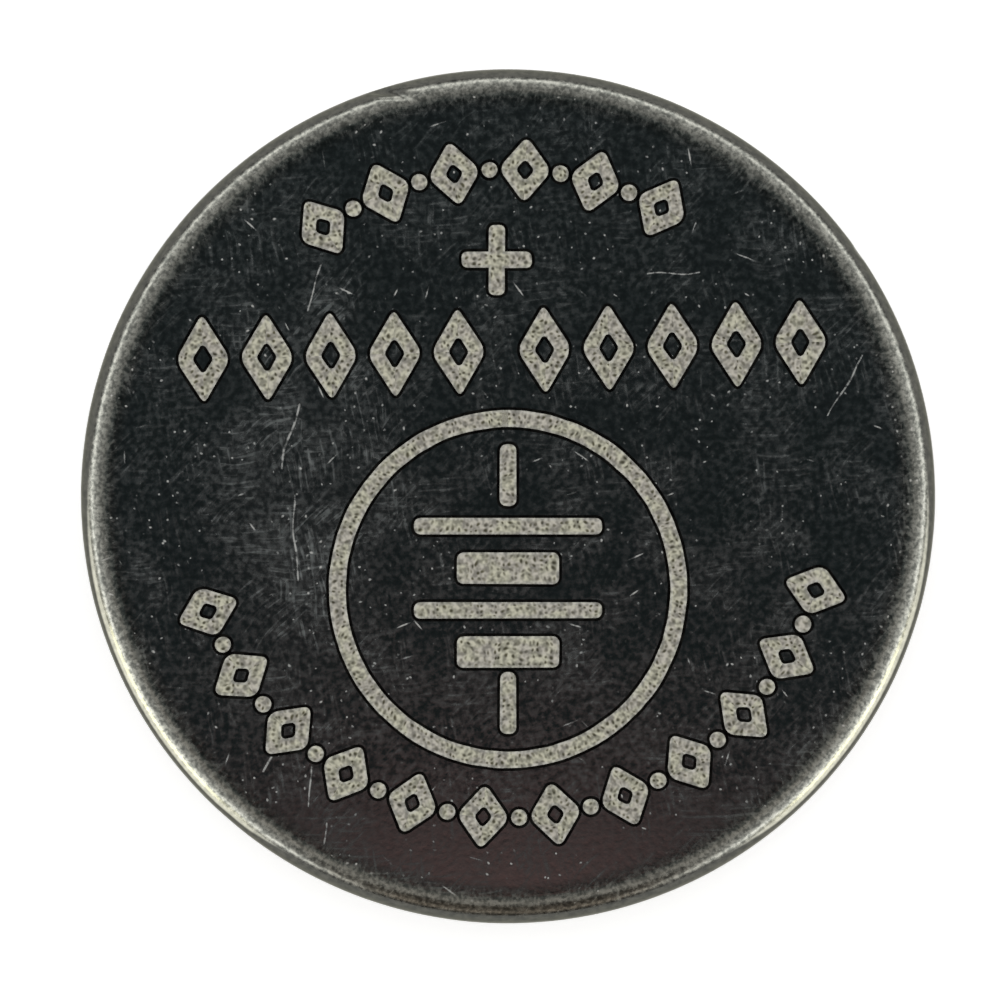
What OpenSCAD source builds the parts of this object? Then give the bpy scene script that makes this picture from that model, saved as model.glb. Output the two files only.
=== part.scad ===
// Lithium manganese dioxide coin cell, 16 mm across and 3.2 mm high.
// The cell lies as it rests: the negative cap's contact face on Z = 0, the
// closed face of the positive can on top. Every section is drawn as a radius
// (across) and a height (up), and turned about Z.

/* [Cell] */
// Diameter over the positive can
cell_d = 16; // [12:0.5:24]
// Height from one contact face to the other
cell_h = 3.2; // [2.5:0.1:5]

/* [Positive can] */
// Sheet thickness of the can
can_t = 0.22; // [0.18:0.01:0.25]
// Outside radius of the drawn corner round the closed face
can_corner_r = 0.55; // [0.4:0.05:0.7]
// Outside radius of the crimp that is rolled in round the open end
crimp_r = 0.85; // [0.8:0.05:0.95]
// How far the crimp curls back up past its lowest point, in degrees
crimp_curl = 18; // [10:1:22]

/* [Negative cap] */
// Sheet thickness of the cap
cap_t = 0.22; // [0.18:0.01:0.24]
// How far the contact face stands out past the crimp
cap_proud = 0.2; // [0.15:0.01:0.25]
// Outside radius of the contact disc's drawn edge
cap_edge_r = 0.42; // [0.35:0.01:0.45]
// Radius of the hollow bend between the contact disc and its ledge
cap_foot_r = 0.2; // [0.15:0.01:0.22]

/* [Gasket] */
// Wall of the gasket between the can and the cap
gasket_t = 0.25; // [0.22:0.01:0.28]
// Width of the groove that shows the gasket, from the crimp to the contact disc
gasket_groove_w = 0.3; // [0.2:0.05:0.4]
// Thickness of the gasket's foot, between the cap's edge and the can's floor
gasket_foot_t = 0.48; // [0.4:0.01:0.6]
// Height of the lip inside the cap's skirt, as a share of the skirt's height
gasket_lip_share = 0.6; // [0.3:0.05:0.8]

/* [Lithium disc] */
// Gap between the lithium disc and the bend of the cap round it
lithium_gap = 0.1; // [0.05:0.05:0.5]

/* [Separator] */
// Thickness of the separator's cloth
separator_t = 0.2; // [0.1:0.01:0.2]
// Gap between the separator and the gasket's lip
separator_gap = 0.15; // [0.05:0.05:0.4]
// Height of the separator's turned-up edge, as a share of the pellet's height
separator_edge_share = 0.6; // [0.3:0.05:0.9]

/* [Cathode pellet] */
// Chamfer round both faces of the pressed pellet
pellet_chamfer = 0.12; // [0.08:0.01:0.2]

/* [Collector mesh] */
// Diameter of the expanded-metal disc, as a share of the pellet's diameter
mesh_share = 0.8; // [0.5:0.05:0.9]
// Thickness of the mesh
mesh_t = 0.1; // [0.06:0.01:0.15]
// Long way of one diamond opening, from strand to strand
mesh_long = 1.5; // [1.3:0.1:1.8]
// Short way of one diamond opening, from strand to strand
mesh_short = 0.85; // [0.75:0.05:1]
// Width of a strand
strand_w = 0.15; // [0.1:0.01:0.2]
// Number of spot welds
weld_count = 3; // [2:1:6]
// Diameter of a spot weld
weld_d = 0.9; // [0.6:0.1:1.2]

/* [Hidden] */
$fn = 96;

// The crimp, the gasket in it and the cap's shoulder bend about one centre
can_r = cell_d / 2;
can_in_r = can_r - can_t;
can_floor_z = cell_h - can_t;
crimp_at = [can_r - crimp_r, cap_proud + crimp_r];
crimp_in_r = crimp_r - can_t;
crimp_end_r = crimp_at.x - crimp_r * sin(crimp_curl);

// The cap: contact disc, ledge under the crimp, and skirt inside the gasket
disc_r = crimp_end_r - gasket_groove_w;
shoulder_r = crimp_in_r - gasket_t;
ledge_z = crimp_at.y - shoulder_r;
ledge_in_z = ledge_z + cap_t;
skirt_r = crimp_at.x + shoulder_r;
skirt_in_r = skirt_r - cap_t;
skirt_end_z = can_floor_z - gasket_foot_t;

// The gasket: the lip inside the skirt, and the tongue under the crimp, which
// swells a little past the sheet where it is free
lip_in_r = skirt_in_r - gasket_t;
lip_h = gasket_lip_share * (skirt_end_z - ledge_in_z);
tongue_swell = 0.02;
tongue_z = cap_proud + can_t - tongue_swell;
tongue_nose_r = 0.15;
tongue_end_r = disc_r + cap_foot_r;
wall_r = crimp_at.x + gasket_t / 2;

// The stack between the cap and the can
lithium_r = disc_r - cap_edge_r - lithium_gap;
separator_r = lip_in_r - separator_gap;
separator_top_z = ledge_in_z + separator_t;
separator_edge_z = separator_top_z
    + separator_edge_share * (can_floor_z - separator_top_z);
separator_bend_r = 0.1;
pellet_r = separator_r - separator_t;
mesh_r = mesh_share * pellet_r;
weld_ring_r = 0.6 * mesh_r;

// Half the section of a turned block, from z0 to z1, with the radius of its
// rounded edge below and above
module block_section(r, z0, z1, low_r, high_r) {
    polygon([
        [0, z0], [r - low_r, z0], [r - low_r, z0 + low_r], [r, z0 + low_r],
        [r, z1 - high_r], [r - high_r, z1 - high_r], [r - high_r, z1], [0, z1]
    ]);
    if (low_r > 0) translate([r - low_r, z0 + low_r]) circle(low_r);
    if (high_r > 0) translate([r - high_r, z1 - high_r]) circle(high_r);
}

// Part of a ring, from the angle a0 to the angle a1, less than half a turn on
module arc_section(centre, r_in, r_out, a0, a1) {
    reach = 2 * r_out;
    middle = (a0 + a1) / 2;
    translate(centre) intersection() {
        difference() {
            circle(r_out);
            circle(r_in);
        }
        polygon([
            [0, 0], reach * [cos(a0), sin(a0)],
            reach * [cos(middle), sin(middle)], reach * [cos(a1), sin(a1)]
        ]);
    }
}

// The web that rounds an inside corner, with the corner at [0, 0]
module corner_web(r) {
    difference() {
        translate([0, -r]) square(r);
        translate([r, -r]) circle(r);
    }
}

// Drawn cup, with its rim rolled in over the gasket
module can_section() {
    difference() {
        block_section(can_r, crimp_at.y, cell_h, 0, can_corner_r);
        block_section(can_in_r, crimp_at.y, can_floor_z, 0, can_corner_r - can_t);
    }
    arc_section(crimp_at, crimp_in_r, crimp_r, -90 - crimp_curl, 0);
}

// Everything inside the can's sheet, down to the bottom of the crimp
module can_hollow_section() {
    block_section(
        can_in_r, cap_proud + can_t, can_floor_z, crimp_in_r, can_corner_r - can_t
    );
}

// The cap as a solid block, drawn a given distance inside its outer face
module cap_block_section(inset) {
    step_r = disc_r - inset;
    step_z = ledge_z + inset;
    block_section(step_r, inset, step_z, cap_edge_r - inset, 0);
    block_section(skirt_r - inset, step_z, skirt_end_z, shoulder_r - inset, 0);
    translate([step_r, step_z]) corner_web(cap_foot_r + inset);
}

// Pressed hat: contact disc, ledge and skirt
module cap_section() {
    difference() {
        cap_block_section(0);
        cap_block_section(cap_t);
    }
}

// The gasket between the ledge and the crimp, with its free round nose
module tongue_section() {
    translate([tongue_end_r, tongue_z])
        square([wall_r - tongue_end_r, ledge_z - tongue_z]);
    translate([tongue_end_r, tongue_z + tongue_nose_r]) circle(tongue_nose_r);
}

// Moulded ring that wraps the cap's skirt: wall, foot, inner lip and tongue.
// Foot and tongue run on into the wall, so that the ring is one solid.
module gasket_section() {
    difference() {
        union() {
            intersection() {
                can_hollow_section();
                translate([crimp_at.x, 0]) square([crimp_r, can_floor_z]);
            }
            translate([lip_in_r, skirt_end_z])
                square([wall_r - lip_in_r, gasket_foot_t]);
            tongue_section();
        }
        cap_block_section(0);
        can_section();
    }
    translate([lip_in_r, skirt_end_z - lip_h])
        square([gasket_t, lip_h + gasket_foot_t / 2]);
}

module positive_can() {
    color("dimgray") rotate_extrude() can_section();
}

module negative_cap() {
    color("silver") rotate_extrude() cap_section();
}

module gasket() {
    color("ivory") rotate_extrude() gasket_section();
}

// Punched from foil and pressed on to the inside of the cap
module lithium_disc() {
    color("lightgray") translate([0, 0, cap_t])
        cylinder(r = lithium_r, h = ledge_in_z - cap_t);
}

// Non-woven cloth, formed into a shallow cup that holds the pellet
module separator() {
    color("white") rotate_extrude() difference() {
        block_section(
            separator_r, ledge_in_z, separator_edge_z,
            separator_bend_r + separator_t, 0
        );
        block_section(
            pellet_r, separator_top_z, separator_edge_z, separator_bend_r, 0
        );
    }
}

// Pressed powder disc; the collector mesh has sunk into its upper face
module cathode_pellet() {
    flat_r = pellet_r - pellet_chamfer;
    color([0.08, 0.08, 0.09]) difference() {
        rotate_extrude() polygon([
            [0, separator_top_z], [flat_r, separator_top_z],
            [pellet_r, separator_top_z + pellet_chamfer],
            [pellet_r, can_floor_z - pellet_chamfer],
            [flat_r, can_floor_z], [0, can_floor_z]
        ]);
        mesh_plate();
    }
}

// One opening of the expanded metal
module diamond() {
    half_long = mesh_long * (1 - strand_w / mesh_short) / 2;
    half_short = (mesh_short - strand_w) / 2;
    polygon([[half_long, 0], [0, half_short], [-half_long, 0], [0, -half_short]]);
}

// Every opening that leaves a whole rim round the disc
module openings() {
    rows = ceil(2 * mesh_r / mesh_short);
    columns = ceil(mesh_r / mesh_long);
    for (row = [-rows : rows], column = [-columns : columns]) {
        x = (column + (row % 2 == 0 ? 0 : 0.5)) * mesh_long;
        y = row * mesh_short / 2;
        far_tip = norm([abs(x) + mesh_long / 2, y]);
        if (far_tip < mesh_r - strand_w) translate([x, y]) diamond();
    }
}

// Where the mesh was welded to the can's floor it is flattened solid
module weld_spots() {
    for (i = [0 : weld_count - 1])
        rotate(90 + i * 360 / weld_count) translate([weld_ring_r, 0]) circle(d = weld_d);
}

module mesh_plate() {
    translate([0, 0, can_floor_z - mesh_t]) linear_extrude(mesh_t) {
        difference() {
            circle(mesh_r);
            openings();
        }
        weld_spots();
    }
}

module collector_mesh() {
    color("darkgray") mesh_plate();
}

positive_can();
negative_cap();
gasket();
lithium_disc();
separator();
cathode_pellet();
collector_mesh();
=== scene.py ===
import math

import bmesh
import bpy
from mathutils import Matrix, Vector, noise


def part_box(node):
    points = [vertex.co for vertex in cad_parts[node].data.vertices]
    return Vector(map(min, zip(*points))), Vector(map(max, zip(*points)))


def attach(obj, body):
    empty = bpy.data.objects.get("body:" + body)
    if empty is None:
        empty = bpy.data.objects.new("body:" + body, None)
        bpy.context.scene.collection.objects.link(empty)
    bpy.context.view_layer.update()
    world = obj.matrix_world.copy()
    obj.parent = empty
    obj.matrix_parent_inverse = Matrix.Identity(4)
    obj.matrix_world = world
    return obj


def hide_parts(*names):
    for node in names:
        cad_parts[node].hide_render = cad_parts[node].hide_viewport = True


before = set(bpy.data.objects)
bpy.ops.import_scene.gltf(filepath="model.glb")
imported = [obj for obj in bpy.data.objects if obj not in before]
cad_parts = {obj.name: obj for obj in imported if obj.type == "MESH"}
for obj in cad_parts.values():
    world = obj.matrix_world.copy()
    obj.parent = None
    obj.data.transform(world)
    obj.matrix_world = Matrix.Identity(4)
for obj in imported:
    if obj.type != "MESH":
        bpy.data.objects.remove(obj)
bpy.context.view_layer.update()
scene = bpy.context.scene

# Camera. It looks straight down on the closed face, from as near as a small
# thing is photographed, and its frame is as wide as the photo's at the height
# where the can is widest.
MM = 0.001
can_low, can_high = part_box("positive_can")
can_radius = (can_high.x - can_low.x) / 2
face_z = can_high.z
corner_radius = 0.55 * MM
camera_distance = 90 * MM
frame_width = 18.72 * MM
cell_off_middle = Vector((0.15, 0.07)) * MM
camera_data = bpy.data.cameras.new("camera")
camera_data.lens = camera_data.sensor_width * camera_distance / frame_width
camera_data.clip_start = 1 * MM
camera_data.clip_end = 10
camera = bpy.data.objects.new("camera", camera_data)
camera.location = (
    -cell_off_middle.x, -cell_off_middle.y, face_z - corner_radius + camera_distance
)
scene.collection.objects.link(camera)
scene.camera = camera
scene.view_settings.view_transform = "Standard"


# Positive can. A cup drawn from nickel-plated stainless sheet, closed face up,
# with its rim rolled in under the cell. The face is polished by handling and
# full of fine scratches, the drawn corner is rubbed to a dull grain.
class Recipe:
    """The nodes of one material, or of the world, written as plain sums."""

    def __init__(self, tree):
        self.tree = tree

    def add(self, kind, inputs=(), **settings):
        made = self.tree.nodes.new("ShaderNode" + kind)
        for name, value in settings.items():
            setattr(made, name, value)
        pairs = inputs.items() if isinstance(inputs, dict) else enumerate(inputs)
        for key, value in pairs:
            self.feed(made.inputs[key], value)
        return made

    def feed(self, socket, value):
        if isinstance(value, bpy.types.NodeSocket):
            self.tree.links.new(value, socket)
        else:
            socket.default_value = value

    def sum(self, operation, *values, clamp=False):
        return self.add("Math", values, operation=operation, use_clamp=clamp).outputs[0]

    def times(self, *values):
        total = values[0]
        for value in values[1:]:
            total = self.sum("MULTIPLY", total, value)
        return total

    def most(self, *values):
        total = values[0]
        for value in values[1:]:
            total = self.sum("MAXIMUM", total, value)
        return total

    def vector(self, operation, *values, output=0):
        return self.add("VectorMath", values, operation=operation).outputs[output]

    def axes(self, vector):
        return self.add("SeparateXYZ", [vector]).outputs

    def joined(self, x, y, z=0.0):
        return self.add("CombineXYZ", [x, y, z]).outputs[0]

    def graded(self, value, low, high, start=0.0, end=1.0):
        """Goes smoothly from start to end as value goes from low to high."""
        return self.add(
            "MapRange", [value, low, high, start, end], interpolation_type="SMOOTHSTEP"
        ).outputs[0]

    def grain(self, vector, scale, detail=2.0, roughness=0.5, dimensions="3D"):
        return self.add(
            "TexNoise",
            {"Vector": vector, "Scale": scale, "Detail": detail, "Roughness": roughness},
            noise_dimensions=dimensions,
        ).outputs["Fac"]

    def cells(self, vector, scale, randomness=1.0):
        return self.add(
            "TexVoronoi",
            {"Vector": vector, "Scale": scale, "Randomness": randomness},
            voronoi_dimensions="2D",
        ).outputs

    def turned(self, vector, angle):
        return self.add(
            "VectorRotate", {"Vector": vector, "Angle": angle}, rotation_type="Z_AXIS"
        ).outputs[0]

    def tint(self, factor, first, second):
        mix = self.add("Mix", {0: factor}, data_type="RGBA", clamp_factor=True)
        self.feed(mix.inputs[6], first)
        self.feed(mix.inputs[7], second)
        return mix.outputs[2]

    def relief(self, height, depth):
        """A bump that stands out by the given depth in metres where the height is 1."""
        return self.add("Bump", {"Height": height, "Distance": depth, "Strength": 1.0}).outputs[0]


def new_finish(name, **plain):
    """A material with its recipe and shader; the plain values go on the shader's own sockets."""
    material = bpy.data.materials.new(name)
    material.use_nodes = True
    shader = material.node_tree.nodes["Principled BSDF"]
    for socket, value in plain.items():
        shader.inputs[socket.replace("_", " ")].default_value = value
    return material, Recipe(material.node_tree), shader


def object_point(recipe):
    """The place on the piece, in millimetres."""
    place = recipe.add("TexCoord").outputs["Object"]
    return recipe.vector("MULTIPLY", place, (1000, 1000, 1000))


def scratches(recipe, point, pitch, width, longest, share, seed):
    """Short scratches and pits, at most one to a pitch, each with its own slant and length."""
    shifted = recipe.vector("ADD", point, (seed, -seed, 0))
    cell = recipe.cells(shifted, 1 / pitch)
    red, green, blue = recipe.axes(cell["Color"])
    from_middle = recipe.vector("SUBTRACT", shifted, cell["Position"])
    slanted = recipe.turned(from_middle, recipe.graded(red, 0, 1, -1.3, 1.3))
    across, along, _ = recipe.axes(slanted)
    reach = recipe.graded(green, 0, share, 0.08 * pitch, longest)
    gap = recipe.vector(
        "LENGTH",
        recipe.joined(recipe.times(across, 1 / width), recipe.sum("DIVIDE", along, reach)),
        output=1,
    )
    line = recipe.graded(gap, 0.2, 1, 1, 0)
    strength = recipe.graded(blue, 0, 1, 0.12, 1)
    return recipe.times(line, strength, recipe.sum("LESS_THAN", green, share))


def rubbing(recipe, point, slant, place):
    """Faint parallel marks that lean by a slant from upright, gathered where place is high."""
    streaks = recipe.vector("MULTIPLY", recipe.turned(point, slant), (16.0, 1.4, 0))
    lines = recipe.grain(streaks, 1.0, 1.0, 0.5, "2D")
    return recipe.times(recipe.graded(lines, 0.47, 0.80), recipe.graded(place, 0.42, 0.66))


def hairline(recipe, point, start, end, width):
    """One long scratch from start to end, in millimetres on the face."""
    run = Vector(end) - Vector(start)
    from_start = recipe.vector("SUBTRACT", point, (*start, 0))
    along = recipe.vector("DOT_PRODUCT", from_start, (*(run / run.length_squared), 0), output=1)
    held = recipe.sum("ADD", along, 0, clamp=True)
    nearest = recipe.vector("MULTIPLY", recipe.joined(held, held), (*run, 0))
    gap = recipe.vector("DISTANCE", from_start, nearest, output=1)
    return recipe.graded(gap, 0.2 * width, width, 1, 0)


can_steel, steel, shader = new_finish("can_steel", Specular_Tint=(0.65, 0.65, 0.60, 1))
point = object_point(steel)
x, y, z = steel.axes(point)
flat_point = steel.joined(x, y)
radius = steel.vector("LENGTH", flat_point, output=1)
face_mm = face_z / MM
flat_mm = (can_radius - corner_radius) / MM
on_top = steel.graded(z, face_mm - 0.07, face_mm - 0.03)
near_edge = steel.graded(radius, flat_mm - 0.3, flat_mm + 0.12)
crest = steel.graded(radius, flat_mm + 0.16, flat_mm + 0.26)

# Wide patches, and a slight sway that lets no long mark run quite straight
wander = steel.add(
    "TexNoise", {"Vector": flat_point, "Scale": 0.8, "Detail": 1.0}, noise_dimensions="2D"
)
patch_1, patch_2, patch_3 = steel.axes(wander.outputs["Color"])
sway = steel.vector("SUBTRACT", wander.outputs["Color"], (0.5, 0.5, 0.5))
bent_point = steel.vector("ADD", flat_point, steel.vector("MULTIPLY", sway, (0.25, 0.25, 0)))

# The mottle of the plating, calmer low on the face, where the sheet is smoother
mottle = steel.grain(point, 8.5, 2.0, 0.55)
mottled = steel.graded(mottle, 0.26, 0.74)
calm = steel.graded(y, -5.0, -6.4, 1.0, 0.3)
face_mottle = steel.sum("ADD", 0.5, steel.times(steel.sum("SUBTRACT", mottled, 0.5), calm))
cloud = steel.graded(
    steel.sum("ADD", patch_2, steel.times(mottle, 0.3)), 0.51, 0.79, -0.024, 0.022
)

# The oval patch left of the middle that handling has dulled most
handled_middle = (-3.7, 0.4, 0)
handled_spread = (0.42, 0.18, 0)
off_middle = steel.vector("SUBTRACT", point, handled_middle)
handled_at = steel.vector("LENGTH", steel.vector("MULTIPLY", off_middle, handled_spread), output=1)
handled = steel.graded(handled_at, 0.35, 1.0, 1, 0)

# Rubbing in three directions, each in patches of its own
rub = steel.times(
    steel.most(
        rubbing(steel, bent_point, 0.75, patch_1),
        rubbing(steel, bent_point, 1.52, patch_2),
        rubbing(steel, bent_point, -0.15, patch_3),
    ),
    steel.graded(handled, 0, 1, 0.75, 1.1),
)

# Short scratches, and round specks that gather in patches
short_marks = scratches(
    steel, flat_point, pitch=0.62, width=0.022, longest=0.24, share=0.20, seed=3.1
)
specks = scratches(
    steel, flat_point, pitch=0.23, width=0.030, longest=0.050, share=0.58, seed=23.9
)
scuffs = steel.most(
    short_marks, steel.times(specks, steel.graded(patch_3, 0.42, 0.58, 0.2, 1))
)

hairlines = [
    # start, end, width, in millimetres
    ((-3.50, 4.31), (-3.69, 3.46), 0.026),
    ((-3.90, 1.71), (-4.22, 0.48), 0.030),
    ((-3.98, 0.00), (-3.92, -1.50), 0.026),
    ((6.59, 2.62), (5.93, 1.47), 0.022),
    ((2.64, 4.15), (3.57, 4.15), 0.020),
    ((-4.33, -4.57), (-4.57, -5.14), 0.030),
    ((-3.66, -5.05), (-3.71, -5.75), 0.026),
    ((-3.33, -6.05), (-3.43, -6.45), 0.026),
]
hairs = 0.0
for start, end, width in hairlines:
    hairs = steel.most(hairs, hairline(steel, bent_point, start, end, width))

broken = steel.graded(mottle, 0.3, 0.6, 0.35, 1)
wear = steel.times(steel.most(scuffs, steel.times(hairs, 0.7)), broken, on_top)

# Round the edge the wear runs across the corner, from the face to the wall
corner_mm = 7.7
outward = steel.vector(
    "MULTIPLY", steel.vector("NORMALIZE", flat_point), (corner_mm, corner_mm, 0)
)
across_corner = steel.times(steel.sum("SUBTRACT", radius, z), 0.75)
corner_grain = steel.grain(
    steel.vector("ADD", outward, steel.joined(0.0, 0.0, across_corner)), 16.0, 1.5
)
abraded = steel.times(near_edge, steel.graded(corner_grain, 0.3, 0.7, 0.26, 0.84))
abrasion = steel.times(abraded, steel.graded(crest, 0, 1, 1, 0.35))

# Past its crest the corner's colour is darkened, a painted dark reflection of the surroundings;
# low on both flanks it is made paler and warmer, a painted highlight, which also pushes the
# painted dark band down
flank = steel.graded(steel.sum("ABSOLUTE", x), 3.9, 5.3)
highlight_place = steel.times(flank, steel.graded(y, 1.2, -2.2))
painted_highlight = steel.times(highlight_place, steel.graded(z, face_mm - 0.09, face_mm - 0.16))
painted_dark_z = steel.sum("ADD", z, steel.times(highlight_place, 0.105))
painted_dark_band = steel.graded(painted_dark_z, face_mm - 0.10, face_mm - 0.16)

# The wall below the corner keeps the fine upright lines of the drawing die
drawn = steel.grain(steel.vector("MULTIPLY", point, (7.0, 7.0, 0.6)), 1.0, 2.0, 0.6)
on_wall = steel.graded(z, face_mm - 0.33, face_mm - 1.1)

plating = steel.tint(face_mottle, (0.34, 0.363, 0.36, 1), (0.58, 0.618, 0.612, 1))
both_grains = steel.sum("ADD", steel.times(mottle, 0.5), steel.times(corner_grain, 0.5))
grained = steel.tint(
    steel.graded(both_grains, 0.36, 0.64), (0.18, 0.185, 0.165, 1), (0.45, 0.45, 0.40, 1)
)
# The warm pale colour of the flanks is a painted highlight
painted_highlight_colour = steel.tint(mottled, (0.46, 0.455, 0.37, 1), (0.62, 0.61, 0.51, 1))
# The near-black colour past the crest is painted shade: a dark reflection of the surroundings,
# painted into the colour
painted_dark_colour = steel.tint(mottled, (0.064, 0.065, 0.060, 1), (0.105, 0.104, 0.092, 1))
lined = steel.tint(drawn, (0.20, 0.20, 0.185, 1), (0.38, 0.375, 0.35, 1))
skin = steel.tint(near_edge, plating, grained)
skin = steel.tint(painted_highlight, skin, painted_highlight_colour)
skin = steel.tint(painted_dark_band, skin, painted_dark_colour)
skin = steel.tint(on_wall, skin, lined)
steel.feed(shader.inputs["Base Color"], steel.tint(wear, skin, (0.56, 0.55, 0.52, 1)))
steel.feed(shader.inputs["Metallic"], steel.graded(wear, 0, 1, 1, 0.5))

# The polish, and what dulls it
roughness = steel.graded(face_mottle, 0, 1, 0.09, 0.17)
for dulling in (
    steel.times(rub, 0.14), steel.times(cloud, calm), steel.times(handled, 0.055),
    steel.times(abrasion, 0.2), steel.times(wear, 0.25)
):
    roughness = steel.sum("ADD", roughness, dulling)
steel.feed(shader.inputs["Roughness"], roughness)
relief_share = steel.times(
    steel.graded(near_edge, 0, 1, 0.1, 0.45), steel.graded(crest, 0, 1, 1, 0.3)
)
steel.feed(
    shader.inputs["Normal"], steel.relief(steel.times(mottle, relief_share), 0.008 * MM)
)


def straight(bm, vert, across, up, steps=1):
    """Runs the wire on from a vertex to a radius and a height, and returns its new end."""
    run = (Vector((across, 0, up)) - vert.co) / steps
    for _ in range(steps):
        vert = bmesh.ops.extrude_vert_indiv(bm, verts=[vert])["verts"][0]
        bmesh.ops.translate(bm, verts=[vert], vec=run)
    return vert


def bend(bm, vert, across, up, degrees, steps):
    """Bends the wire on from a vertex round a centre, and returns its new end."""
    last = bmesh.ops.spin(
        bm, geom=[vert], cent=(across, 0, up), axis=(0, 1, 0),
        angle=math.radians(degrees), steps=steps, use_merge=False
    )["geom_last"]
    return next(item for item in last if isinstance(item, bmesh.types.BMVert))


def turned_sheet(bm, steps):
    """Turns the wire in bm once round the cell's axis into a closed skin."""
    bmesh.ops.spin(
        bm, geom=list(bm.verts) + list(bm.edges), cent=(0, 0, 0), axis=(0, 0, 1),
        angle=2 * math.pi, steps=steps, use_merge=True
    )
    bmesh.ops.remove_doubles(bm, verts=list(bm.verts), dist=0.0001 * MM)
    bmesh.ops.recalc_face_normals(bm, faces=list(bm.faces))
    for face in bm.faces:
        face.smooth = True


can_sheet = 0.22 * MM
crimp_radius = 0.85 * MM
crimp_turn = 108
wall_in = can_radius - can_sheet
corner_at = (can_radius - corner_radius, face_z - corner_radius)
crimp_at = (can_radius - crimp_radius, can_low.z + crimp_radius)
flat_r = corner_at[0]
rings_in_mm = (0.45, 0.15, 0.03, 0)
bm = bmesh.new()

# The outer skin, from the middle of the face to the end of the crimp
end = bm.verts.new((0, 0, face_z))
for ring_in in rings_in_mm:
    end = straight(bm, end, flat_r - ring_in * MM, face_z)
end = bend(bm, end, *corner_at, 90, 24)
end = straight(bm, end, can_radius, crimp_at[1], 12)
end = bend(bm, end, *crimp_at, crimp_turn, 28)

# Across the cut end of the sheet, and back along the inner skin
inward = 1 - can_sheet / crimp_radius
end = straight(
    bm, end, crimp_at[0] + inward * (end.co.x - crimp_at[0]),
    crimp_at[1] + inward * (end.co.z - crimp_at[1]), 2
)
end = bend(bm, end, *crimp_at, -crimp_turn, 14)
end = straight(bm, end, wall_in, corner_at[1])
end = bend(bm, end, *corner_at, -90, 6)
straight(bm, end, 0, face_z - can_sheet)
turned_sheet(bm, steps=600)

# The sheet waves very slightly. The corner has a nick near its top, made of
# five dents that run together, and three slighter dents elsewhere. The face,
# the inner skin and the crimp stay as they were drawn.
wave_depth = 0.002
wave_scale = 1.3
dents = [
    # degrees round, radius, height, depth, size, in millimetres
    (103.8, 7.66, 3.155, 0.030, 0.10),
    (104.9, 7.74, 3.10, 0.045, 0.10),
    (106.0, 7.82, 3.04, 0.055, 0.10),
    (107.0, 7.89, 2.97, 0.060, 0.10),
    (107.8, 7.95, 2.88, 0.050, 0.10),
    (34.9, 7.98, 2.75, 0.030, 0.10),
    (97.5, 7.74, 3.11, 0.010, 0.22),
    (229.0, 7.90, 2.95, 0.010, 0.25),
]
for vert in list(bm.verts):
    spot = vert.co / MM
    across = math.hypot(vert.co.x, vert.co.y)
    behind = across < can_radius - can_sheet / 2 and vert.co.z < face_z - can_sheet
    if across < flat_r or behind:
        continue
    depth = wave_depth * (1 + noise.noise(wave_scale * spot))
    for around, dent_r, dent_z, deep, size in dents:
        turn = math.radians(around)
        middle = Vector((dent_r * math.cos(turn), dent_r * math.sin(turn), dent_z))
        depth += deep * math.exp(-((spot - middle).length / size) ** 2)
    vert.co -= vert.normal * depth * MM
can_mesh = bpy.data.meshes.new("drawn_can")
bm.to_mesh(can_mesh)
bm.free()
can_mesh.materials.append(can_steel)
drawn_can = bpy.data.objects.new("drawn_can", can_mesh)
scene.collection.objects.link(drawn_can)
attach(drawn_can, "root")
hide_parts("positive_can")


# Plus sign. It tells the positive pole, and like every mark on the face it is
# burnt in by a laser, which leaves the steel frosted and pale: the outline is
# run once more, and the heat leaves a dark line round it.
etched_height = 0.004 * MM
etched_root = 0.02 * MM
heat_w = 0.055 * MM
contour_w = 0.045 * MM
tip_radius = 0.15 * MM
waver_mm = 0.012
waver_scale = 3.5
waver_apart = Vector((0, 0, 9.5))
next_stretch = (7.31, 3.17)


def frosted(name, pale, other, dark, pulse_depth):
    """Steel melted dull by the laser, with the dots of its pulses still showing."""
    material, recipe, shader = new_finish(name, Metallic=0.25, Roughness=0.6)
    stroke = recipe.add("UVMap", uv_map="stroke").outputs[0]
    warp = recipe.add(
        "TexNoise", {"Vector": stroke, "Scale": 2.5, "Detail": 1.0}, noise_dimensions="2D"
    ).outputs["Color"]
    nudged = recipe.vector("ADD", stroke, recipe.vector("MULTIPLY", warp, (0.2, 0.2, 0)))
    pulse = recipe.cells(recipe.vector("MULTIPLY", nudged, (8.5, 7.5, 0)), 1.0, 0.5)
    red, green, _ = recipe.axes(warp)
    dot = recipe.times(
        recipe.graded(pulse["Distance"], 0.08, 0.40, 1, 0),
        recipe.graded(red, 0.4, 0.6, 0.6, 1), pulse_depth
    )
    speckle = recipe.grain(stroke, 9.0, 1.0, 0.6, "2D")
    body = recipe.tint(recipe.graded(green, 0.4, 0.6), pale, other)
    dotted = recipe.tint(dot, body, dark)
    shade = recipe.graded(speckle, 0.25, 0.75, 0.6, 1.4)
    recipe.feed(
        shader.inputs["Base Color"],
        recipe.vector("MULTIPLY", dotted, recipe.joined(shade, shade, shade)),
    )
    recipe.feed(
        shader.inputs["Normal"], recipe.relief(recipe.sum("SUBTRACT", speckle, dot), 0.006 * MM)
    )
    return material


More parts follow.
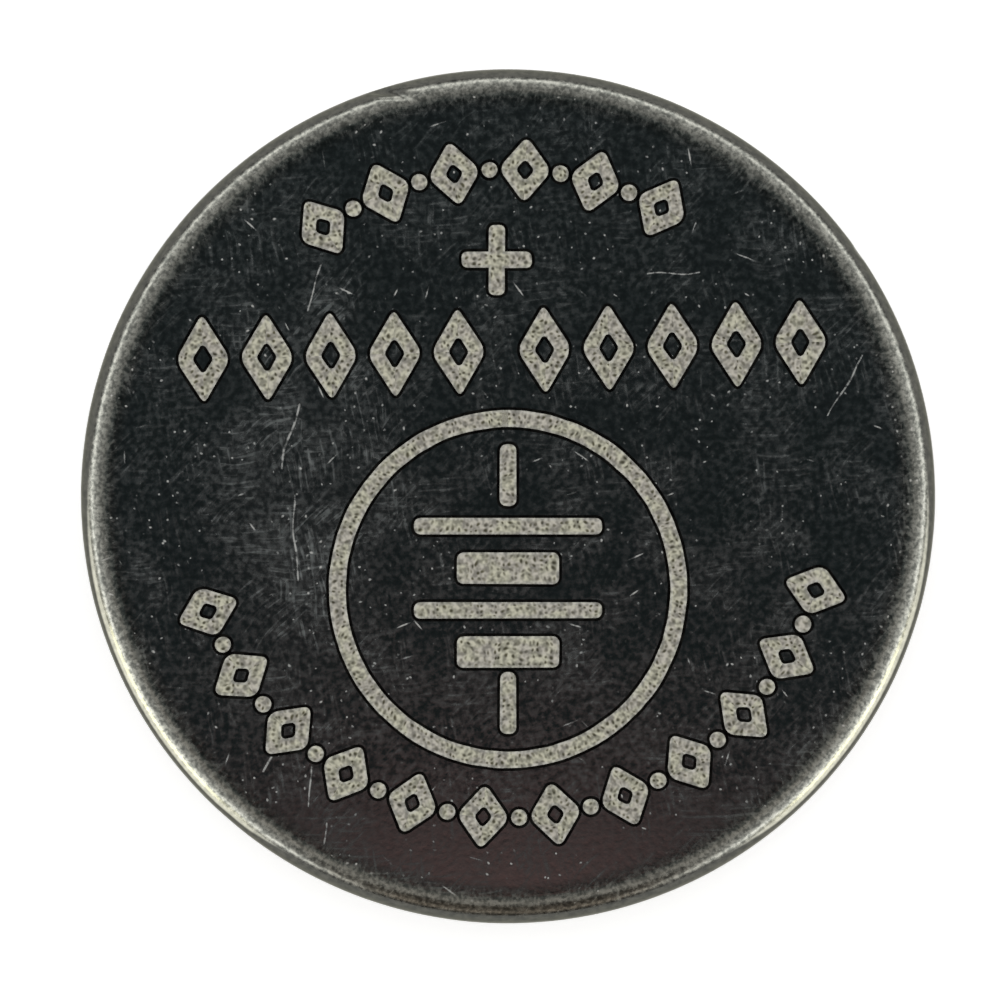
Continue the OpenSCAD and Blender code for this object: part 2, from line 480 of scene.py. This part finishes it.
etched_finishes = [
    frosted(
        "etched_field", (0.43, 0.42, 0.33, 1), (0.40, 0.38, 0.33, 1), (0.07, 0.065, 0.035, 1), 1.0
    ),
    frosted(
        "etched_outline", (0.44, 0.435, 0.37, 1), (0.41, 0.40, 0.36, 1), (0.16, 0.15, 0.11, 1), 0.6
    ),
]
heat_tint, heat, shader = new_finish("heat_tint", Metallic=1.0)
heat_noise = heat.grain(object_point(heat), 6.0)
heat.feed(
    shader.inputs["Base Color"],
    heat.tint(heat_noise, (0.015, 0.015, 0.015, 1), (0.05, 0.048, 0.042, 1)),
)
heat.feed(shader.inputs["Roughness"], heat.graded(heat_noise, 0, 1, 0.15, 0.4))
etched_finishes.append(heat_tint)


def etched_motif(bm, along):
    """Turns flat faces, drawn about the origin in metres, into one etched mark.

    along(place, side) gives the place along and across the stroke, in
    millimetres, of a place on a face whose middle lies on that side.
    """
    flat = list(bm.faces)
    heated = bmesh.ops.inset_region(
        bm, faces=flat, thickness=heat_w, use_boundary=True, use_even_offset=True
    )["faces"]
    outline = bmesh.ops.inset_region(
        bm, faces=flat, thickness=contour_w, use_boundary=True, use_even_offset=True
    )["faces"]
    for face in outline:
        face.material_index = 1
    for face in heated:
        face.material_index = 2
    raised = bmesh.ops.extrude_face_region(bm, geom=list(bm.faces))["geom"]
    top = [item for item in raised if isinstance(item, bmesh.types.BMVert)]
    bmesh.ops.translate(bm, verts=top, vec=(0, 0, etched_root + etched_height))
    bmesh.ops.recalc_face_normals(bm, faces=bm.faces)
    layer = bm.loops.layers.uv.new("stroke")
    for face in bm.faces:
        side_of_mark = face.calc_center_median() / MM
        for loop in face.loops:
            loop[layer].uv = along(loop.vert.co / MM, side_of_mark)
    mesh = bpy.data.meshes.new("motif")
    bm.to_mesh(mesh)
    bm.free()
    return mesh


def etch(name, places):
    """Sets motifs out on the face as one piece, each as (motif, x, y, turn).

    Each has a stretch of the pattern of its own, and all waver a little.
    """
    bm = bmesh.new()
    layer = bm.loops.layers.uv.new("stroke")
    for index, (motif, x, y, turn) in enumerate(places):
        old_verts = len(bm.verts)
        old_faces = len(bm.faces)
        bm.from_mesh(motif)
        place = Matrix.Translation((x, y, face_z - etched_root)) @ Matrix.Rotation(turn, 4, "Z")
        bmesh.ops.transform(bm, matrix=place, verts=list(bm.verts)[old_verts:])
        for face in list(bm.faces)[old_faces:]:
            for loop in face.loops:
                loop[layer].uv += Vector([index * step for step in next_stretch])
    for vert in bm.verts:
        spot = waver_scale * Vector((vert.co.x, vert.co.y, 0)) / MM
        vert.co.x += noise.noise(spot) * waver_mm * MM
        vert.co.y += noise.noise(spot + waver_apart) * waver_mm * MM
    mesh = bpy.data.meshes.new(name)
    bm.to_mesh(mesh)
    bm.free()
    for finish in etched_finishes:
        mesh.materials.append(finish)
    piece = bpy.data.objects.new(name, mesh)
    scene.collection.objects.link(piece)
    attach(piece, "root")


def straight_along(place, side):
    """The stroke runs along X."""
    return place.xy


plus_size = 1.30 * MM + 2 * heat_w
plus_stroke = 0.30 * MM + 2 * heat_w
plus_at = (-0.21 * MM, 4.40 * MM)
bm = bmesh.new()
bmesh.ops.create_grid(bm, x_segments=3, y_segments=3, size=plus_size / 2)
for vert in bm.verts:
    for axis in range(2):
        if abs(vert.co[axis]) < plus_size / 4:
            vert.co[axis] = math.copysign(plus_stroke / 2, vert.co[axis])
corners = [
    face for face in bm.faces
    if min(abs(face.calc_center_median().x), abs(face.calc_center_median().y)) > plus_stroke / 2
]
bmesh.ops.delete(bm, geom=corners, context="FACES")
bmesh.ops.dissolve_faces(bm, faces=list(bm.faces))
tips = [vert for vert in bm.verts if max(abs(vert.co.x), abs(vert.co.y)) > plus_size / 4]
bmesh.ops.bevel(
    bm, geom=tips, offset=tip_radius, segments=4, profile=0.5, affect="VERTICES", material=-1
)
plus_motif = etched_motif(bm, straight_along)
etch("plus_sign", [(plus_motif, *plus_at, 0.0)])


# Sign ring. A plain etched circle below the middle of the face.
ring_y = -1.73 * MM
ring_r = 3.33 * MM + heat_w
ring_stroke = 0.31 * MM + 2 * heat_w


def ring_along(place, side):
    """The stroke runs round the ring."""
    return (ring_r / MM * math.atan2(place.x, -place.y), place.xy.length)


bm = bmesh.new()
bmesh.ops.create_circle(bm, cap_ends=True, radius=ring_r, segments=180)
middle = list(bm.faces)
bmesh.ops.inset_region(
    bm, faces=middle, thickness=ring_stroke, use_boundary=True, use_even_offset=True
)
bmesh.ops.delete(bm, geom=middle, context="FACES")
ring_motif = etched_motif(bm, ring_along)
etch("sign_ring", [(ring_motif, 0.0, ring_y, 0.0)])


# Cell sign. Inside the ring stands the plain circuit sign of two cells: a
# long thin plate and a short thick one for each, with a lead at either end.
bar_end_radius = 0.17 * MM


def bar(length, width):
    """A straight etched stroke with round ends."""
    bm = bmesh.new()
    bmesh.ops.create_grid(bm, x_segments=1, y_segments=1, size=0.5)
    bmesh.ops.scale(bm, vec=(length + 2 * heat_w, width + 2 * heat_w, 1), verts=bm.verts)
    bmesh.ops.bevel(
        bm, geom=list(bm.verts), offset=bar_end_radius, segments=4, profile=0.5,
        affect="VERTICES", material=-1
    )
    return etched_motif(bm, straight_along)


long_plate = bar(3.5 * MM, 0.30 * MM)
short_plate = bar(1.9 * MM, 0.58 * MM)
lead = bar(1.15 * MM, 0.30 * MM)
plate_pitch = 0.78 * MM
lead_off_plate = 0.95 * MM
cell_sign_places = []
for step, plate in zip((1.5, 0.5, -0.5, -1.5), (long_plate, short_plate) * 2):
    cell_sign_places.append((plate, 0.0, ring_y + step * plate_pitch, 0.0))
lead_y = 1.5 * plate_pitch + lead_off_plate
for side_of_sign in (1, -1):
    cell_sign_places.append((lead, 0.0, ring_y + side_of_sign * lead_y, math.pi / 2))
etch("cell_sign", cell_sign_places)


# Borders. Plain rows of lozenges and beads, one round the top of the face,
# one across it and one round the bottom.
lozenge_corner = 0.20 * MM
hole_corner = 0.03 * MM
quarter_stretch = (5.3, 9.1)


def lozenge_face(bm, width, height, corner):
    """Adds one flat lozenge with rounded corners."""
    made = bmesh.ops.create_circle(bm, cap_ends=True, radius=0.5, segments=4)["verts"]
    bmesh.ops.scale(bm, vec=(width, height, 1), verts=made)
    bmesh.ops.bevel(
        bm, geom=made, offset=corner, segments=4, profile=0.5, affect="VERTICES", material=-1
    )


def open_lozenge(width, height, stroke):
    """The outline of a lozenge, whose pale stroke has the given width."""
    full_width = width + 2 * heat_w
    full_height = height + 2 * heat_w
    diagonal = math.hypot(full_width, full_height)
    hole = 1 - 2 * (stroke + 2 * heat_w) * diagonal / (full_width * full_height)
    bm = bmesh.new()
    lozenge_face(bm, full_width, full_height, lozenge_corner)
    lozenge_face(bm, hole * full_width, hole * full_height, hole_corner)
    bmesh.ops.delete(bm, geom=list(bm.faces), context="FACES_ONLY")
    bmesh.ops.bridge_loops(bm, edges=list(bm.edges))
    slope = Vector((-width, height)).normalized()
    outward = Vector((slope.y, -slope.x))

    def lozenge_along(place, side):
        """The stroke runs along the four sides, each with its own stretch of the pattern."""
        corner = Vector((abs(place.x), abs(place.y)))
        quarter = Vector([
            stretch if part > 0 else 0 for part, stretch in zip(side.xy, quarter_stretch)
        ])
        return Vector((corner.dot(slope), corner.dot(outward))) + quarter

    return etched_motif(bm, lozenge_along)


def bead(size):
    """A small round dot."""
    bm = bmesh.new()
    bmesh.ops.create_circle(bm, cap_ends=True, radius=size / 2 + heat_w, segments=20)
    return etched_motif(bm, straight_along)


def arc_places(motif, arc_r, start, end, count):
    """One motif at even steps of angle, upright on a circle about the cell's axis."""
    places = []
    for step in range(count):
        turn = math.radians(start + (end - start) * step / (count - 1))
        places.append((motif, arc_r * math.cos(turn), arc_r * math.sin(turn), turn - math.pi / 2))
    return places


small_lozenge = open_lozenge(1.02 * MM, 1.30 * MM, 0.25 * MM)
small_bead = bead(0.30 * MM)
top_r = 6.08 * MM
etch(
    "top_border",
    arc_places(small_lozenge, top_r, 124.5, 62.0, 6)
    + arc_places(small_bead, top_r, 118.25, 68.25, 5)
)

tall_lozenge = open_lozenge(1.04 * MM, 1.76 * MM, 0.27 * MM)
row_y = 2.71 * MM
row_rise = math.radians(1.6)
row_pitch = 1.19 * MM
row_start = 0.80 * MM
row_shift = 0.12 * MM
row_places = []
for row_side in (-1, 1):
    for step in range(5):
        along_row = row_side * (row_start + step * row_pitch) - row_shift
        row_places.append((
            tall_lozenge, along_row * math.cos(row_rise),
            row_y + along_row * math.sin(row_rise), row_rise
        ))
etch("middle_border", row_places)

bottom_r = 5.98 * MM
etch(
    "bottom_border",
    arc_places(small_lozenge, bottom_r, 201.0, 343.0, 12)
    + arc_places(small_bead, bottom_r, 207.45, 336.55, 11)
)


# Negative cap. A stepped hat pressed from the same kind of sheet; only its
# raised contact disc and the bend round it show, in the crimp's opening.
def dress(node, material):
    """Gives a piece of the frame its finish."""
    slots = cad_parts[node].data.materials
    slots.clear()
    slots.append(material)


cap_steel, recipe, shader = new_finish("cap_steel", Metallic=1.0)
point = object_point(recipe)
x, y, z = recipe.axes(point)
rolled = recipe.grain(recipe.vector("MULTIPLY", point, (0.5, 12.0, 4.0)), 1.0, 2.0)
cap_marks = scratches(
    recipe, recipe.joined(x, y), pitch=0.5, width=0.024, longest=0.21, share=0.2, seed=2.3
)
recipe.feed(
    shader.inputs["Base Color"],
    recipe.tint(cap_marks, recipe.tint(rolled, (0.46, 0.45, 0.43, 1), (0.54, 0.53, 0.51, 1)),
                (0.75, 0.74, 0.72, 1)),
)
recipe.feed(shader.inputs["Roughness"], recipe.graded(rolled, 0.3, 0.7, 0.22, 0.36))
recipe.feed(
    shader.inputs["Normal"],
    recipe.relief(recipe.sum("SUBTRACT", recipe.times(rolled, 0.03), cap_marks), 0.003 * MM),
)
dress("negative_cap", cap_steel)


# Gasket. A moulded polypropylene ring, milky and a little translucent; the
# crimp has squeezed it out into a smooth lip round the contact disc.
gasket_plastic, recipe, shader = new_finish(
    "gasket_plastic", Subsurface_Weight=0.25, Subsurface_Scale=0.3 * MM, IOR=1.49
)
point = object_point(recipe)
milk = recipe.grain(point, 3.0, 3.0)
recipe.feed(
    shader.inputs["Base Color"],
    recipe.tint(milk, (0.72, 0.71, 0.66, 1), (0.82, 0.81, 0.77, 1)),
)
recipe.feed(shader.inputs["Roughness"], recipe.graded(milk, 0.3, 0.7, 0.32, 0.5))
recipe.feed(shader.inputs["Normal"], recipe.relief(recipe.grain(point, 9.0), 0.004 * MM))
dress("gasket", gasket_plastic)


# Lithium disc. Soft foil, punched and pressed into the cap; its dull skin
# keeps the lines of the rolls and a pale bloom.
lithium_foil, recipe, shader = new_finish("lithium_foil", Metallic=0.85)
point = object_point(recipe)
rolls = recipe.grain(recipe.vector("MULTIPLY", point, (0.4, 9.0, 1.0)), 1.0, 3.0)
bloom = recipe.graded(recipe.grain(point, 0.8, 4.0), 0.5, 0.7)
recipe.feed(
    shader.inputs["Base Color"],
    recipe.tint(bloom, recipe.tint(rolls, (0.48, 0.49, 0.51, 1), (0.60, 0.61, 0.63, 1)),
                (0.74, 0.74, 0.72, 1)),
)
recipe.feed(shader.inputs["Roughness"], recipe.graded(bloom, 0, 1, 0.42, 0.75))
recipe.feed(shader.inputs["Normal"], recipe.relief(rolls, 0.006 * MM))
dress("lithium_disc", lithium_foil)


# Separator. Non-woven cloth of fused polypropylene fibres, formed into a
# shallow cup and soaked with electrolyte.
separator_cloth, recipe, shader = new_finish("separator_cloth", Sheen_Weight=0.15)
point = object_point(recipe)
fibres = 0.0
for lean, scale in ((0.4, 1.0), (1.9, 1.15), (2.8, 0.9)):
    strand_point = recipe.vector("MULTIPLY", recipe.turned(point, lean), (1.2, 22.0, 6.0))
    strand = recipe.grain(strand_point, scale, 2.0)
    fibres = recipe.most(fibres, strand)
fibre = recipe.graded(fibres, 0.45, 0.75)
recipe.feed(
    shader.inputs["Base Color"],
    recipe.tint(fibre, (0.70, 0.70, 0.68, 1), (0.88, 0.88, 0.86, 1)),
)
recipe.feed(shader.inputs["Roughness"], recipe.graded(fibre, 0, 1, 0.9, 0.65))
recipe.feed(shader.inputs["Normal"], recipe.relief(fibre, 0.02 * MM))
dress("separator", separator_cloth)


# Cathode pellet. Manganese dioxide with carbon and a binder, pressed into a
# hard black disc; the press leaves it a little shiny between its grains.
cathode_mass, recipe, shader = new_finish("cathode_mass", Specular_IOR_Level=0.35)
point = object_point(recipe)
grains = recipe.grain(point, 11.0, 4.0, 0.7)
pressed = recipe.graded(recipe.grain(point, 0.9, 2.0), 0.4, 0.65)
recipe.feed(
    shader.inputs["Base Color"],
    recipe.tint(grains, (0.018, 0.018, 0.020, 1), (0.055, 0.053, 0.050, 1)),
)
recipe.feed(shader.inputs["Roughness"], recipe.graded(pressed, 0, 1, 0.55, 0.85))
recipe.feed(shader.inputs["Normal"], recipe.relief(grains, 0.02 * MM))
dress("cathode_pellet", cathode_mass)


# Collector mesh. Expanded stainless steel, slit and pulled open, flattened
# and spot-welded to the can's floor; the welds are browned by the heat.
mesh_steel, recipe, shader = new_finish("mesh_steel", Metallic=1.0)
point = object_point(recipe)
pulled = recipe.grain(recipe.vector("MULTIPLY", point, (2.0, 10.0, 4.0)), 1.0, 2.0)
weld_ring_mm = 0.6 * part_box("collector_mesh")[1].x / MM
weld_count = 3
browned = 0.0
for index in range(weld_count):
    turn = math.radians(90 + 360 / weld_count * index)
    weld = (weld_ring_mm * math.cos(turn), weld_ring_mm * math.sin(turn), 0)
    from_weld = recipe.vector(
        "LENGTH", recipe.vector("MULTIPLY", recipe.vector("SUBTRACT", point, weld), (1, 1, 0)),
        output=1
    )
    browned = recipe.most(browned, recipe.graded(from_weld, 0.2, 0.6, 1, 0))
recipe.feed(
    shader.inputs["Base Color"],
    recipe.tint(browned, recipe.tint(pulled, (0.45, 0.45, 0.44, 1), (0.56, 0.56, 0.55, 1)),
                (0.36, 0.26, 0.16, 1)),
)
recipe.feed(shader.inputs["Roughness"], recipe.graded(pulled, 0.3, 0.7, 0.3, 0.5))
recipe.feed(shader.inputs["Normal"], recipe.relief(pulled, 0.005 * MM))
dress("collector_mesh", mesh_steel)


# Studio. A plain pale floor under a soft light that is brightest low down all
# round and dark straight overhead, where the polished face looks.
floor_reach = 1.5
floor_mesh = bpy.data.meshes.new("floor")
bm = bmesh.new()
bmesh.ops.create_grid(bm, x_segments=1, y_segments=1, size=floor_reach)
bm.to_mesh(floor_mesh)
bm.free()
floor = bpy.data.objects.new("floor", floor_mesh)
scene.collection.objects.link(floor)
floor_paint, recipe, shader = new_finish(
    "floor_paint", Roughness=0.9, Specular_IOR_Level=0.0, Emission_Color=(1, 1, 1, 1)
)
shade = recipe.grain(object_point(recipe), 0.01, 0.0)
recipe.feed(
    shader.inputs["Base Color"],
    recipe.tint(shade, (0.90, 0.90, 0.90, 1), (0.91, 0.91, 0.91, 1)),
)
seen = recipe.add("LightPath").outputs
looked_at = recipe.most(seen["Is Camera Ray"], seen["Is Glossy Ray"], seen["Is Transmission Ray"])
recipe.feed(shader.inputs["Emission Strength"], recipe.times(looked_at, 0.45))
floor_paint.cycles.emission_sampling = "NONE"
floor_mesh.materials.append(floor_paint)

world = bpy.data.worlds.new("studio")
world.use_nodes = True
scene.world = world
sky = Recipe(world.node_tree)
direction = sky.add("TexCoord").outputs["Generated"]
side_x, side_y, up = sky.axes(direction)
ramp = sky.add("ValToRGB", [up])
sky_levels = [
    # share of straight up, brightness
    (0.00, 0.45), (0.12, 0.60), (0.20, 1.10), (0.27, 2.20), (0.335, 2.40), (0.40, 1.45),
    (0.50, 0.78), (0.60, 0.62), (0.72, 0.54), (0.83, 0.42), (0.91, 0.26),
    (0.953, 0.12), (0.983, 0.032), (1.00, 0.023)
]
brightest = 3.0
stops = ramp.color_ramp.elements
stops[0].position, stops[1].position = sky_levels[0][0], sky_levels[-1][0]
for place, _ in sky_levels[1:-1]:
    stops.new(place)
for stop, (_, level) in zip(stops, sky_levels):
    stop.color = (level / brightest, level / brightest, level / brightest, 1)
background = world.node_tree.nodes["Background"]

# Overhead the light is a little cooler; just off it, on the viewer's side, is
# a small warm glow that the lower part of the face mirrors
near_zenith = sky.graded(up, 0.90, 0.985)
towards_viewer = sky.times(
    sky.graded(side_y, -0.062, -0.082), sky.graded(sky.sum("ABSOLUTE", side_x), 0.065, 0.03),
    sky.graded(up, 0.972, 0.990)
)
cool = sky.tint(near_zenith, (1.0, 1.0, 1.0, 1), (0.84, 1.04, 1.08, 1))
overhead = sky.tint(towards_viewer, cool, (8.0, 4.5, 4.2, 1))

# On the viewer's side the low light is dark and brown, as the rim shows there,
# and brighter and warmer above it; the far side is a little dimmer
southness = sky.times(
    sky.graded(side_y, -0.45, -0.72), sky.graded(sky.sum("ABSOLUTE", side_x), 0.60, 0.25)
)
brown = sky.tint(
    sky.times(southness, sky.graded(up, 0.86, 0.74)), overhead, (0.165, 0.14, 0.12, 1)
)
above_brown = sky.times(sky.graded(side_y, -0.10, -0.25), sky.graded(up, 0.74, 0.84))
sides = sky.tint(sky.graded(side_y, 0.15, 0.45), (1.0, 1.0, 1.0, 1), (0.80, 0.80, 0.80, 1))
sides = sky.tint(above_brown, sides, (1.35, 1.27, 1.22, 1))
lit = sky.vector("MULTIPLY", ramp.outputs["Color"], sky.vector("MULTIPLY", brown, sides))
sky.feed(background.inputs["Color"], lit)
background.inputs["Strength"].default_value = brightest


def soft_lamp(name, around, above, distance, width, height, brightness, colour):
    """A soft light at an angle round the cell and above the floor, facing it."""
    data = bpy.data.lights.new(name, "AREA")
    data.shape = "RECTANGLE"
    data.size = width
    data.size_y = height
    data.energy = brightness * width * height * math.pi
    data.color = colour
    lamp = bpy.data.objects.new(name, data)
    turn, lift = math.radians(around), math.radians(above)
    lamp.location = distance * Vector((
        math.cos(turn) * math.cos(lift), math.sin(turn) * math.cos(lift), math.sin(lift)
    ))
    lamp.rotation_euler = (-lamp.location).to_track_quat("-Z", "Y").to_euler()
    lamp.visible_camera = False
    scene.collection.objects.link(lamp)
    return lamp


warm = (1.0, 0.98, 0.76)
soft_lamp("left_strip", 213, 6, 0.30, 0.15, 0.07, 2.6, warm)
soft_lamp("right_strip", 326, 6, 0.30, 0.14, 0.07, 2.6, warm)
fill = soft_lamp("fill", 90, 80, 0.50, 0.40, 0.40, 1.9, (1.0, 1.0, 1.0))
fill.visible_glossy = False
